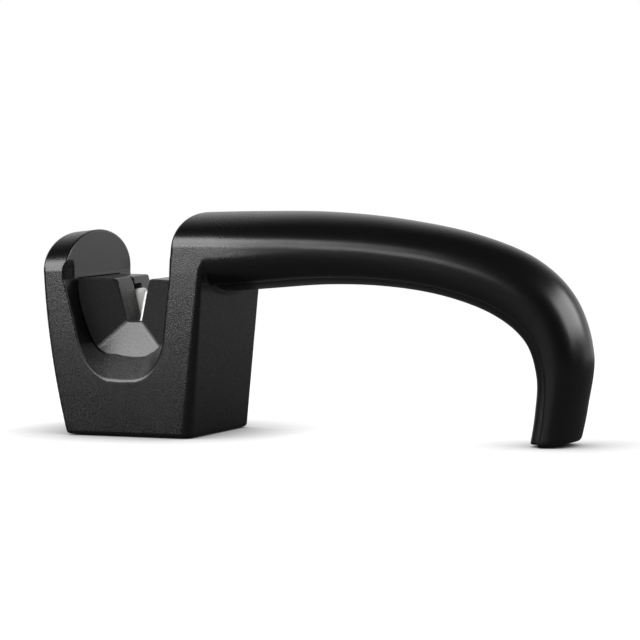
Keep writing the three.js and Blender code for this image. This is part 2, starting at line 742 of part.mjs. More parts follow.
// Liner of the grip and its screws, which point outwards to the crown
function handleLiner() {
  const strip = loft(sections(0, lastStation).map(linerRing));
  const tongue = loft(sections(stationAtX(gripStart + wall), lastStation - tongueShort).map(tongueRing));
  const beyondHead = prismAcross([
    [rightFace(0) + linerGap, 0], [far, 0], [far, crownHeight],
    [rightFace(crownHeight) + linerGap, crownHeight],
  ], -far, far);
  const aboveGap = prismUp(boxOutline(-far, -far, far, far), linerTailGap, far);
  const trimmed = strip.add(tongue).intersect(beyondHead).intersect(aboveGap);
  const cuts = linerScrewStations.flatMap((station) => {
    const section = gripSection(station);
    const seat = linerSeat(section);
    const beyond = section.place(0, section.depth + wall);
    const behind = section.place(0, section.parting - 2 * tongueHeight);
    return [
      bar(beyond, section.place(0, seat), screwHeadRadius + screwGap),
      bar(beyond, behind, holeRadius, holeTurn),
    ];
  });
  return cutAway(trimmed, cuts);
}

function linerSeat(section) {
  return section.parting + linerGap;
}

function linerBosses() {
  return linerScrewStations.map((station) => {
    const section = gripSection(station);
    const foot = section.place(0, section.parting - tongueHeight - bossGap);
    return bar(foot, section.place(0, gripWall / 2), bossRadius, 2 * holeTurn);
  });
}

function linerScrewHoles() {
  return linerScrewStations.map((station) => {
    const section = gripSection(station);
    const end = linerSeat(section) - screwLength - screwGap;
    return bar(section.place(0, section.depth), section.place(0, end), holeRadius, holeTurn);
  });
}

function linerScrew(station) {
  const section = gripSection(station);
  const seat = linerSeat(section);
  const turn = new THREE.Matrix4().makeBasis(
    new THREE.Vector3(0, 1, 0).cross(section.inward.clone().negate()), new THREE.Vector3(0, 1, 0),
    section.inward.clone().negate());
  turn.setPosition(section.place(0, seat));
  return upScrew(0, 0, 0).transform(turn.toArray());
}

// Finishes
function finish(color, roughness, metalness) {
  return new THREE.MeshStandardMaterial({ color, roughness, metalness });
}

const shellPlastic = () => finish(0x17181a, 0.5, 0);
const linerPlastic = () => finish(0x151617, 0.45, 0);
const guidePlastic = () => finish(0x2c2d2f, 0.5, 0);
const ceramic = () => finish(0xf1efe9, 0.35, 0);
const soleRubber = () => finish(0x1b1b1c, 0.9, 0);
const cushionRubber = () => finish(0x3a3a3a, 0.9, 0);
const screwSteel = () => finish(0xa9abad, 0.35, 1);

const sharpener = new THREE.Group();

function addPart(name, body, material) {
  const mesh = new THREE.Mesh(surface(body), material);
  mesh.name = name;
  sharpener.add(mesh);
}

addPart('main_shell', mainShell(), shellPlastic());
addPart('handle_liner', handleLiner(), linerPlastic());
addPart('base_plate', basePlate(), linerPlastic());
addPart('base_sole', baseSole(), soleRubber());
addPart('front_guide', guide(frontMouth), guidePlastic());
addPart('rear_guide', turnedRound(guide(rearMouth)), guidePlastic());
addPart('rod_right', rod(), ceramic());
addPart('rod_left', turnedRound(rod()), ceramic());
addPart('rod_cushion_right', rodCushion(), cushionRubber());
addPart('rod_cushion_left', turnedRound(rodCushion()), cushionRubber());
baseScrewPlaces.forEach(([x, y], i) => {
  addPart(`base_screw_${i + 1}`, upScrew(x, y, baseScrewSeat), screwSteel());
});
guideScrewPlaces.forEach(([x, y], i) => {
  addPart(`guide_screw_${i + 1}`, upScrew(x, y, guideScrewSeat), screwSteel());
});
linerScrewStations.forEach((station, i) => {
  addPart(`liner_screw_${i + 1}`, linerScrew(station), screwSteel());
});

// The origin lies under the middle of the whole part, on the table
const box = new THREE.Box3().setFromObject(sharpener);
sharpener.position.x = -(box.min.x + box.max.x) / 2;

export default sharpener;
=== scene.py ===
import math

import bpy
import numpy as np
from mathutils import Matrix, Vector


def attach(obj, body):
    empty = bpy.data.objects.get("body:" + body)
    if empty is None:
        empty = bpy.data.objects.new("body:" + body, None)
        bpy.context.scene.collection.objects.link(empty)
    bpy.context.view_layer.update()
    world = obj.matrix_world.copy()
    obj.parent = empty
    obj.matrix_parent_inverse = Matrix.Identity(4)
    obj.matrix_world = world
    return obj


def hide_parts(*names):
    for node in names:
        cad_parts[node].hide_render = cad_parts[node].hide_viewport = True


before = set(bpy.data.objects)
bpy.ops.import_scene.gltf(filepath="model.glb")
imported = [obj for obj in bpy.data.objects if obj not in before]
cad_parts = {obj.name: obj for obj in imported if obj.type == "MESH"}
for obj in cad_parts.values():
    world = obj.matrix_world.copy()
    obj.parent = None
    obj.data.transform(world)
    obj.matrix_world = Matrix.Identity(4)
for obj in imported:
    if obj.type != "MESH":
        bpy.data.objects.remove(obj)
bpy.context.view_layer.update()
print("frame loaded")

# Shapes are fields: a function of x, y and z in millimetres that is the distance to the surface,
# negative inside. A field is sampled on a grid, skinned, and the skin is drawn onto the surface.
metre = 0.001
leastSlope, tiny = 1e-6, 1e-9  # least divisors


# Larger of two fields, with the edge where they meet rolled off in a radius: the larger, but at most
# minus the radius, plus the length of the two parts that reach past minus the radius
def roundedMax(a, b, radius):
    inside = np.minimum(np.maximum(a, b), -radius)
    return inside + np.hypot(np.maximum(a + radius, 0), np.maximum(b + radius, 0))


# Smaller of two fields, with the inner corner where they meet filled in a radius: roundedMax turned over
def roundedMin(a, b, radius):
    outside = np.maximum(np.minimum(a, b), radius)
    return outside - np.hypot(np.maximum(radius - a, 0), np.maximum(radius - b, 0))


# 0 below 0, 1 above 1, and between them the smooth step 3 t squared less 2 t cubed
def ease(t):
    t = np.clip(t, 0, 1)
    return t * t * (3 - 2 * t)


# From a to b: a plus a share of the difference
def mix(a, b, share):
    return a + (b - a) * share


ellipse = 2.0  # power of a plain ellipse, and more is squarer


# Distance to a curve |a / halfA|^power + |b / halfB|^power = 1, to first order: (k - 1) over the slope of k
def ovalField(a, b, halfA, halfB, power, least=1e-4):
    shareA, shareB = np.maximum(np.abs(a) / halfA, least), np.maximum(np.abs(b) / halfB, least)
    k = (shareA ** power + shareB ** power) ** (1 / power)
    slope = np.hypot(shareA ** (power - 1) / halfA, shareB ** (power - 1) / halfB) * k ** (1 - power)
    return (k - 1) / slope


# Skin of a field on a grid: one point in each cell that the surface passes through, at the mean of
# the crossings on the cell's edges, and one four-sided face around each crossed edge
def fieldSkin(field, axes):
    values = field(axes[0][:, None, None], axes[1][None, :, None], axes[2][None, None, :])
    cells = np.array(values.shape) - 1
    spots, corners = [], []
    for axis in range(3):
        turned = np.moveaxis(values, axis, 0)
        low, high = turned[:-1], turned[1:]
        found = np.argwhere((low < 0) != (high < 0))
        picked = tuple(found.T)
        share = low[picked] / (low[picked] - high[picked])
        place = np.empty_like(found)
        place[:, [axis] + [k for k in range(3) if k != axis]] = found
        spot = np.stack([axes[k][place[:, k]] for k in range(3)], 1)
        spot[:, axis] += share * (axes[axis][place[:, axis] + 1] - spot[:, axis])
        around = np.repeat(place[:, None, :], 4, 1)
        around[:, :, (axis + 1) % 3] += np.array([-1, 0, 0, -1])
        around[:, :, (axis + 2) % 3] += np.array([-1, -1, 0, 0])
        ids = np.ravel_multi_index(np.moveaxis(around, 2, 0), cells)
        outward = low[picked] < 0
        corners.append(np.where(outward[:, None], ids, ids[:, ::-1]))
        spots.append(spot)
    corners, spots = np.vstack(corners), np.vstack(spots)
    _, faces = np.unique(corners, return_inverse=True)
    count = np.bincount(faces.ravel())
    points = np.stack([np.bincount(faces.ravel(), np.repeat(spots[:, k], 4)) / count for k in range(3)], 1)
    return points, faces.reshape(-1, 4)


# Value and slope of a field at points, from values a little to each side
def fieldSlope(field, points, step=0.03):
    at = lambda move: field(*(points + move).T)
    moves = np.eye(3) * step
    slope = np.stack([(at(move) - at(-move)) / (2 * step) for move in moves], 1)
    return at(0), slope


# Points drawn onto the surface: each moves against the slope by the value over the slope, a short way at a time
def settled(field, points, rounds=3, farthest=0.5):
    for _ in range(rounds):
        value, slope = fieldSlope(field, points)
        move = slope * (value / np.maximum((slope ** 2).sum(1), leastSlope))[:, None]
        length = np.linalg.norm(move, axis=1, keepdims=True)
        points = points - move * np.minimum(1, farthest / np.maximum(length, tiny))
    return points


# Mesh in metres from points in millimetres
def meshFrom(name, points, faces):
    mesh = bpy.data.meshes.new(name)
    mesh.from_pydata(points * metre, [], faces.tolist())
    mesh.update()
    return mesh


# Object at the origin, linked to the scene
def addObject(name, mesh):
    piece = bpy.data.objects.new(name, mesh)
    bpy.context.scene.collection.objects.link(piece)
    return piece


# Piece from a field: skinned, thinned out to the share of faces to keep, and shaded with the field's own slope
def fieldPiece(name, field, axes, keep):
    points, faces = fieldSkin(field, axes)
    piece = addObject(name, meshFrom(name, settled(field, points), faces))
    if keep < 1:
        thinner = piece.modifiers.new("Thinner", "DECIMATE")
        thinner.ratio = keep
        evaluated = piece.evaluated_get(bpy.context.evaluated_depsgraph_get())
        thinned = bpy.data.meshes.new_from_object(evaluated)
        piece.modifiers.clear()
        piece.data = thinned
        thinned.name = name
    mesh = piece.data
    spots = np.empty(len(mesh.vertices) * 3)
    mesh.vertices.foreach_get("co", spots)
    spots = settled(field, spots.reshape(-1, 3) / metre, rounds=2)
    mesh.vertices.foreach_set("co", (spots * metre).ravel())
    _, slope = fieldSlope(field, spots)
    normals = slope / np.maximum(np.linalg.norm(slope, axis=1, keepdims=True), tiny)
    mesh.shade_smooth()
    mesh.normals_split_custom_set_from_vertices(normals.tolist())
    mesh.update()
    print(name, len(mesh.vertices), "points", sum(len(p.vertices) - 2 for p in mesh.polygons), "triangles")
    return piece


# Grid lines along one axis: runs of start, end and step, one after another
def gridAxis(*runs):
    return np.concatenate([np.arange(start, end, step) for start, end, step in runs])


# Head of the shell, in millimetres: a block with a domed left wall, cut by the channel, the well and the scoops.
# slotX is the middle of the slot, and dx is measured from it
slotX = -71.41
head = {
    "leftEnd": -100.21, "leftArc": 293.0, "leftTop": 73.6, "leftSpring": 59.2, "leftEdge": 1.0,
    "domeRise": 14.4, "domeFall": 1.2, "rightAtTable": -41.83, "rightLean": 0.079,
    "baseHalf": 27.5, "flare": 0.5, "shoulder": 65.69, "cornerLow": 4.4, "cornerHigh": 2.0,
    "rim": 0.4, "rimRound": 1.3, "rebateWall": 2.0, "rebateTop": 3.6,
    "channelLeft": 19.1, "channelRight": 20.9, "leftOpens": 0.01, "rightOpens": 0.09, "channelFloor": 56.1,
    "scoopLip": 0.7, "lipLeft": 0.7, "lipRight": 1.2, "lipFade": 6.0,
    "armpit": 6.5, "fillet": 1.0, "filletFade": 8.0, "filletStart": 3.0,
}
well = {
    "floor": 29.1, "middle": 43.0, "top": 56.4, "corner": 5.5, "halfDepth": 18.0,
    "floorHalf": 11.4, "middleHalf": 16.9, "topHalf": 19.9, "frontLeftHalf": 12.6, "frontLeftMiddle": 17.8,
}
# Each edge of a scoop is its half width low and high on the outer face
scoop = {
    "frontLeft": (12.2, 20.25), "frontRight": (18.2, 21.4), "rearLeft": (15.6, 19.2), "rearRight": (15.6, 21.4),
    "bowLeft": -0.7, "bowRight": -0.5, "floor": 20.6, "sag": 0.011, "sagAt": 2.4, "corner": 10.0,
    "face": 27.67, "seat": 15.0, "overlap": 0.6, "shareRange": (-0.3, 1.1),
    "topSeat": 21.0, "topFrom": 46.0, "topTo": 56.0, "fadeFrom": 60.5, "fade": 3.0, "rearFade": 9.6,
}


# Distance of the channel's left and right walls from the slot: that at the well's top, plus an opening upwards
def channelWalls(z):
    over = z - well["top"]
    return head["channelLeft"] + head["leftOpens"] * over, head["channelRight"] + head["rightOpens"] * over


# Half width of the well: a parabola through its floor, middle and top. In front it is wider to the left
def wellHalf(z, wider):
    floorHalf = np.where(wider, well["frontLeftHalf"], well["floorHalf"])
    middleHalf = np.where(wider, well["frontLeftMiddle"], well["middleHalf"])
    low, middle, top = well["floor"], well["middle"], well["top"]
    z = np.clip(z, low, top)
    return (floorHalf * (z - middle) * (z - top) / ((low - middle) * (low - top))
            + middleHalf * (z - low) * (z - top) / ((middle - low) * (middle - top))
            + well["topHalf"] * (z - low) * (z - middle) / ((top - low) * (top - middle)))


# Well: inside its half width, above its floor with a round between them, and as deep and high as the guides
def wellField(dx, y, z):
    outline = roundedMax(np.abs(dx) - wellHalf(z, (dx < 0) & (y < 0)), well["floor"] - z, well["corner"])
    return np.maximum(np.maximum(outline, np.abs(y) - well["halfDepth"]), z - well["top"])


# Scoop: its edge on the outer face is drawn in to the outline of the well as the depth grows from face to seat.
# The edge runs from low to high with a bow, and fades into the channel's wall above
def scoopField(dx, y, z):
    side = np.abs(y)
    steep = ease((z - scoop["topFrom"]) / (scoop["topTo"] - scoop["topFrom"])) * ((y < 0) & (dx < 0))
    seat = mix(scoop["seat"], scoop["topSeat"], steep)
    share = np.clip((scoop["face"] - side) / (scoop["face"] - seat), *scoop["shareRange"])
    climb = np.clip((z - scoop["floor"]) / (well["top"] - scoop["floor"]), 0, 1)
    frontFade, rearFade = (z - scoop["fadeFrom"]) / scoop["fade"], (z - well["top"]) / scoop["rearFade"]
    fade = ease(np.where(y < 0, frontFade, rearFade))

    def half(front, rear, wall, bulge):
        bow = 4 * bulge * climb * (1 - climb)
        low, high = (np.where(y < 0, a, b) for a, b in zip(front, rear))
        edge = mix(mix(low, high, climb) + bow, wall, fade)
        inner = np.minimum(mix(wellHalf(z, (dx < 0) & (y < 0)), wall, fade), wall)
        return mix(edge, inner, share)

    leftWall, rightWall = channelWalls(z)
    left = -dx - half(scoop["frontLeft"], scoop["rearLeft"], leftWall, scoop["bowLeft"])
    right = dx - half(scoop["frontRight"], scoop["rearRight"], rightWall, scoop["bowRight"])
    slope = (well["floor"] - scoop["floor"]) / (scoop["face"] - scoop["seat"])
    sag = scoop["sag"] * (dx - scoop["sagAt"] * np.where(y < 0, 1, 0)) ** 2
    ledge = (mix(scoop["floor"], well["floor"], share) + sag - z) / math.hypot(1, slope)
    corner = mix(scoop["corner"], well["corner"], np.clip(share, 0, 1))
    opened = roundedMax(roundedMax(left, ledge, corner), right, corner)
    return np.maximum(opened, scoop["seat"] - scoop["overlap"] - side)


# All that is cut from the head: the smallest of channel, well and scoops
def headCuts(x, y, z):
    dx = x - slotX
    leftWall, rightWall = channelWalls(z)
    channel = np.maximum(np.maximum(-dx - leftWall, dx - rightWall), head["channelFloor"] - z)
    return np.minimum(np.minimum(channel, wellField(dx, y, z)), scoopField(dx, y, z))


# Left face: distance to an upright plane, which turns into a wide arc below leftTop
def leftFaceField(x, z):
    below = np.maximum(head["leftTop"] - z, 0)
    return np.hypot(x - head["leftEnd"] - head["leftArc"], below) - head["leftArc"]


# Right face: distance to a plane that leans out with the height
def rightFaceField(x, z):
    return (x - head["rightAtTable"] - head["rightLean"] * z) / math.hypot(1, head["rightLean"])


# Grip: sections on a frame from its root to the outside of the bend and from table to crown. Each row is
# outer x and z, inner x and z as shares of that frame, half width, share of the shoulder, liner depth
grip = {
    "root": -53.91, "end": 100.19, "crown": 81.3, "powerHead": 2.0, "powerTail": 3.6,
    "flatRise": 2.6, "flatDrop": 1.5, "flatEnd": 2.4, "domePower": 2.2, "flush": 0.03,
    "linerGap": 0.3, "linerLap": 0.8, "linerInset": 0.5, "linerSide": 1.7, "linerStart": 0.6,
    "tailRound": 1.6, "partRound": 1.7, "footRound": 0.5,
    "rows": [
        [0.0000, 0.987, 0.0000, 0.618, 28.0, 0.485, 3.0], [0.1750, 0.998, 0.1812, 0.645, 27.7, 0.485, 3.0],
        [0.3571, 1.000, 0.3634, 0.674, 24.2, 0.485, 3.2], [0.5384, 0.973, 0.5188, 0.670, 20.6, 0.490, 3.5],
        [0.7196, 0.911, 0.6554, 0.633, 17.6, 0.500, 4.0], [0.8643, 0.807, 0.7714, 0.558, 15.2, 0.520, 4.6],
        [0.9580, 0.641, 0.8464, 0.448, 13.5, 0.530, 5.0], [1.0000, 0.405, 0.8741, 0.301, 12.6, 0.530, 5.1],
        [0.9857, 0.172, 0.8714, 0.148, 12.2, 0.520, 5.1], [0.9696, 0.024, 0.8580, -0.019, 12.0, 0.500, 5.0],
    ],
}
gripRows = np.array(grip["rows"])
gripRows[:, [0, 2]] = mix(grip["root"], grip["end"], gripRows[:, [0, 2]])
gripRows[:, [1, 3]] *= grip["crown"]
lastStation = len(gripRows) - 1
gripRuns = np.vstack([2 * gripRows[0] - gripRows[1], gripRows, 2 * gripRows[-1] - gripRows[-2]])


# Smooth line through the rows: a cubic between two rows whose end slopes come from their neighbours
def gripAt(station):
    row = np.clip(np.floor(station).astype(int), 0, lastStation - 1)
    t = (station - row)[..., None]
    before, here, after, beyond = (gripRuns[row + k] for k in range(4))
    start, end = (after - before) / 2, (beyond - here) / 2
    cubic = 2 * here - 2 * after + start + end
    square = 3 * after - 3 * here - 2 * start - end
    return (cubic * t + square) * t * t + start * t + here


# First guess of the station for each point of a coarse grid in x and z: the nearest section line
guess = {"x": (-62.0, 108.0), "z": (-8.0, 92.0), "stations": 181}
guessX, guessZ = np.arange(*guess["x"]), np.arange(*guess["z"])
guessStations = np.linspace(0, lastStation, guess["stations"])
lines = gripAt(guessStations)
spanX, spanZ = lines[:, 2] - lines[:, 0], lines[:, 3] - lines[:, 1]
awayX = guessX[:, None, None] - lines[:, 0]
awayZ = guessZ[None, :, None] - lines[:, 1]
nearest = np.clip((awayX * spanX + awayZ * spanZ) / (spanX ** 2 + spanZ ** 2), 0, 1)
guessTable = guessStations[np.argmin(np.hypot(awayX - nearest * spanX, awayZ - nearest * spanZ), -1)]


newton = {"rounds": 4, "step": 0.01, "leastTurn": 1e-3, "farthest": 0.3, "beyond": 0.4}


# Station whose section line runs through a point, found by Newton steps, and the depth along that line
def sectionAt(x, z):
    x, z = np.broadcast_arrays(x, z)
    column = np.clip(np.rint(x - guessX[0]).astype(int), 0, len(guessX) - 1)
    level = np.clip(np.rint(z - guessZ[0]).astype(int), 0, len(guessZ) - 1)
    station = guessTable[column, level]

    def lineAt(where):
        row = gripAt(where)
        alongX, alongZ = row[..., 2] - row[..., 0], row[..., 3] - row[..., 1]
        depth = np.hypot(alongX, alongZ)
        alongX, alongZ = alongX / depth, alongZ / depth
        miss = (x - row[..., 0]) * alongZ - (z - row[..., 1]) * alongX
        return row, depth, alongX, alongZ, miss

    farthest, beyond = newton["farthest"], newton["beyond"]
    for _ in range(newton["rounds"]):
        *_, miss = lineAt(station)
        *_, ahead = lineAt(station + newton["step"])
        turn = (ahead - miss) / newton["step"]
        turn = np.where(np.abs(turn) < newton["leastTurn"], newton["leastTurn"], turn)
        station = np.clip(station - np.clip(miss / turn, -farthest, farthest), -beyond, lastStation + beyond)
    row, depth, alongX, alongZ, _ = lineAt(station)
    n = (x - row[..., 0]) * alongX + (z - row[..., 1]) * alongZ
    return {"station": station, "n": n, "depth": depth, "half": row[..., 4],
            "shoulder": depth * row[..., 5], "parting": depth - row[..., 6]}


# Section of the grip: half an oval above the shoulder and a squarer one below it. At the head end a flat flank
# lies between them
def sectionField(section, side, sideInset, inset):
    n, shoulder = section["n"], section["shoulder"]
    half = np.minimum(section["half"] + grip["flush"], head["baseHalf"] + head["flare"]) - sideInset
    power = mix(grip["powerHead"], grip["powerTail"], np.clip(section["station"] / lastStation, 0, 1))
    headShare = 1 - ease(section["station"] / grip["flatEnd"])
    rise, drop = grip["flatRise"] * headShare, grip["flatDrop"] * headShare
    domePower = mix(ellipse, grip["domePower"], headShare)
    dome = ovalField(side, np.maximum(shoulder - n - rise, 0), half, shoulder - inset - rise, domePower)
    flankDepth = section["depth"] - inset - shoulder - drop
    flank = ovalField(side, np.maximum(n - shoulder - drop, 0), half, flankDepth, power)
    return np.where(n < shoulder, dome, flank)


# Distance beyond the slanting end of the tail, raised by a lift
def tailField(x, z, lift):
    outerX, outerZ, innerX, innerZ = gripRows[-1][:4]
    length = math.hypot(innerX - outerX, innerZ - outerZ)
    alongX, alongZ = (innerX - outerX) / length, (innerZ - outerZ) / length
    return (outerX - x) * alongZ + (z - outerZ) * alongX + lift


# Shell: the left wall, and the block with the grip on the right, less the liner's room, the head's cuts and the
# rebate for the sole. Each joining edge has a radius of its own
def shellField(x, y, z):
    side = np.abs(y)
    rise = np.clip(z / head["leftSpring"], 0, 1)
    half = head["baseHalf"] + head["flare"] * rise
    corner = mix(head["cornerLow"], head["cornerHigh"], rise)
    left, right = leftFaceField(x, z), rightFaceField(x, z)
    shortSpan = slotX - head["channelLeft"] - head["leftEnd"]
    domeRise = head["domeRise"] - head["domeFall"] * (1 - np.clip((x - head["leftEnd"]) / shortSpan, 0, 1))
    over = z - head["leftSpring"]
    dome = ovalField(side, over, head["baseHalf"] + head["flare"], domeRise, ellipse)
    leftPart = roundedMax(np.where(over > 0, dome, side - half), left, head["leftEdge"])
    profile = roundedMin(right, head["shoulder"] - z, head["armpit"])
    block = np.maximum(roundedMax(side - half, profile, corner), z - head["shoulder"])
    section = sectionAt(x, z)
    bent = roundedMax(sectionField(section, side, 0, 0), tailField(x, z, 0), grip["tailRound"])
    low = ease((head["shoulder"] - z) / head["filletFade"])
    beside = ease((right + head["filletStart"]) / head["filletStart"])
    rightPart = roundedMin(block, bent, head["fillet"] * low * beside)
    linerRoom = np.maximum(section["parting"] - section["n"], grip["linerStart"] - right)
    rightPart = roundedMax(rightPart, -linerRoom, grip["partRound"])
    body = np.where(x < slotX, leftPart, rightPart)
    lipAbove = np.where(x < slotX, head["lipLeft"], head["lipRight"])
    lip = mix(head["scoopLip"], lipAbove, ease((z - well["top"]) / head["lipFade"]))
    body = roundedMax(body, -headCuts(x, y, z), lip)
    foot = np.where(x < 0, head["rim"], 0.0)
    body = roundedMax(body, foot - z, np.where(x < 0, head["rimRound"], grip["footRound"]))
    inner = np.maximum(np.maximum(side - head["baseHalf"], right), left) + head["rebateWall"]
    rebate = np.maximum(inner, z - head["rebateTop"])
    return np.maximum(body, -rebate)


shellX = gridAxis((-101.63, -32, 0.56), (-32, 102.5, 1.1))
shellY, shellZ = gridAxis((-29.27, 29.6, 0.56)), gridAxis((-1.17, 83, 0.56))
shell = fieldPiece("shell", shellField, (shellX, shellY, shellZ), keep=0.55)


# Share of the grain and of the painted highlight: how much, how near to the surface meant, and where it starts
# and how far it takes to change
grainAndHighlightShare = {
    "wall": 0.1, "wallNear": 0.25, "wallAbove": 1.0, "ledge": 3.0, "ledgeNear": 0.15, "ledgeAbove": 4.0,
    "faceFrom": 0.35, "faceRun": 0.45, "grip": 0.8, "gripRun": 70.0,
}


# The share at each point: little on the polished left wall of the channel, more on the scoops' ledges where they
# face upwards, and elsewhere 1 on the head, easing to the grip's share. On the up-facing ledges it also paints
# a lighter highlight into the colour, standing in for the light that falls on them
def addGrainAndHighlight(piece):
    mesh = piece.data
    spots, slopes = np.empty(len(mesh.vertices) * 3), np.empty(len(mesh.vertices) * 3)
    mesh.vertices.foreach_get("co", spots)
    mesh.vertex_normals.foreach_get("vector", slopes)
    x, y, z = spots.reshape(-1, 3).T / metre
    dx, upwards = x - slotX, ease((slopes[2::3] - grainAndHighlightShare["faceFrom"]) / grainAndHighlightShare["faceRun"])
    wallStart, ledgeEnd = head["channelFloor"] + grainAndHighlightShare["wallAbove"], well["floor"] + grainAndHighlightShare["ledgeAbove"]
    onWall = (np.abs(-dx - channelWalls(z)[0]) < grainAndHighlightShare["wallNear"]) & (z > wallStart)
    onLedge = (np.abs(scoopField(dx, y, z)) < grainAndHighlightShare["ledgeNear"]) & (z < ledgeEnd)
    along = mix(1.0, grainAndHighlightShare["grip"], ease((x - grip["root"]) / grainAndHighlightShare["gripRun"]))
    share = np.where(onWall, grainAndHighlightShare["wall"], mix(along, grainAndHighlightShare["ledge"], onLedge * upwards))
    mesh.attributes.new("grain_and_highlight", "FLOAT", "POINT").data.foreach_set("value", share)


addGrainAndHighlight(shell)
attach(shell, "frame")
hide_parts("main_shell")


# Liner: the inner part of each section, a little drawn in, with bores for its screws
liner = {
    "foot": 0.9, "tailLift": 0.8, "tailRound": 1.6, "edge": 0.7,
    "screwStations": [1.15, 2.8, 4.4], "boreRadius": 2.8,
}


# The section drawn in, from the parting line inwards, cut off at the tail, the head and the table, less the bores
def linerField(x, y, z):
    section = sectionAt(x, z)
    side = np.abs(y)
    body = sectionField(section, side, grip["linerSide"], grip["linerInset"])
    body = roundedMax(body, section["parting"] - grip["linerLap"] - section["n"], liner["edge"])
    body = roundedMax(body, tailField(x, z, liner["tailLift"]), liner["tailRound"])
    body = np.maximum(body, grip["linerStart"] + grip["linerGap"] - rightFaceField(x, z))
    body = roundedMax(body, liner["foot"] - z, liner["edge"])
    for row in gripAt(np.array(liner["screwStations"])):
        along = (row[2:4] - row[0:2]) / np.linalg.norm(row[2:4] - row[0:2])
        off = np.hypot((x - row[0]) * along[1] - (z - row[1]) * along[0], y)
        body = roundedMax(body, liner["boreRadius"] - off, liner["edge"])
    return body


linerAxes = (gridAxis((-40.03, 95, 0.62)), gridAxis((-19.1, 19.4, 0.6)), gridAxis((-1.13, 64, 0.6)))
linerPiece = fieldPiece("liner", linerField, linerAxes, keep=0.6)
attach(linerPiece, "frame")
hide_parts("handle_liner")

# Guides: funnel faces and a ramp lead into the slot, and a stepped seam lies behind
guide = {
    "seatGap": 0.08, "sink": 1.8, "edge": 0.45, "seam": 1.8, "seamGap": 0.3,
    "slotFloor": 40.8, "slotHalf": 2.7, "slotLean": 0.246, "lip": 1.3, "lipFrom": 3.0, "lipFade": 2.0,
    "mouthHalf": 6.0, "frontMouth": 12.0, "rearMouth": 16.6, "funnel": 0.45, "ramp": 0.458, "crease": 0.6,
    "pocketRoof": 53.3, "pocketGap": 0.06, "pocketEdge": 0.2,
}
rod = {
    "radius": 2.9, "lean": 11.5, "offset": 5.0, "footX": 0.925, "foot": 31.2, "tip": 51.9,
    "tipRound": 2.0, "footRound": 0.8, "sides": 64, "arcSteps": 9,
}
rodLean = math.radians(rod["lean"])


# The well's filling, ended at the seam behind and at the funnel and the ramp in front, less the slot and
# the pocket of its rod
def guideField(dx, y, z, mouth, wider):
    across = np.abs(dx)
    outline = across - wellHalf(z, (dx < 0) & wider)
    body = roundedMax(outline + guide["seatGap"], well["floor"] - guide["sink"] - z, well["corner"])
    body = roundedMax(body, z - well["top"], guide["edge"])
    halfGap = guide["seamGap"] / 2
    seam = np.minimum(y + guide["seam"] + halfGap, np.maximum(dx + halfGap, y - guide["seam"] + halfGap))
    funnel = (-mouth - guide["funnel"] * (across - guide["mouthHalf"]) - y) / math.hypot(1, guide["funnel"])
    rampTop = -mouth + guide["funnel"] * (guide["mouthHalf"] - guide["slotHalf"])
    ramp = (rampTop - guide["ramp"] * (guide["slotFloor"] - z) - y) / math.hypot(1, guide["ramp"])
    front = np.maximum(roundedMin(funnel, ramp, guide["crease"]), -well["halfDepth"] - y)
    body = np.maximum(roundedMax(body, front, guide["edge"]), seam)
    slotHalf = guide["slotHalf"] + guide["slotLean"] * (z - guide["slotFloor"])
    slot = np.maximum((across - slotHalf) / math.hypot(1, guide["slotLean"]), guide["slotFloor"] - z)
    lip = mix(guide["edge"], guide["lip"], ease((z - well["top"] + guide["lipFrom"]) / guide["lipFade"]))
    body = roundedMax(body, -slot, lip)
    rodX = (dx - rod["footX"]) * math.cos(rodLean) - (z - rod["foot"]) * math.sin(rodLean)
    pocket = np.hypot(rodX, y + rod["offset"]) - rod["radius"] - guide["pocketGap"]
    return roundedMax(body, -np.maximum(pocket, z - guide["pocketRoof"]), guide["pocketEdge"])


# The front guide, and the rear one as the same form turned half round
def frontGuideField(x, y, z):
    return guideField(x - slotX, y, z, guide["frontMouth"], True)


def rearGuideField(x, y, z):
    return guideField(slotX - x, -y, z, guide["rearMouth"], False)


guideAxisX, guideAxisZ = gridAxis((slotX - 20.53, slotX + 20.6, 0.42)), gridAxis((26.79, 57.4, 0.42))
for name, field, start, end, node in (
        ("frontGuide", frontGuideField, -18.87, 3.4, "front_guide"),
        ("rearGuide", rearGuideField, -3.33, 18.9, "rear_guide")):
    piece = fieldPiece(name, field, (guideAxisX, gridAxis((start, end, 0.42)), guideAxisZ), keep=0.6)
    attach(piece, "frame")
    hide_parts(node)


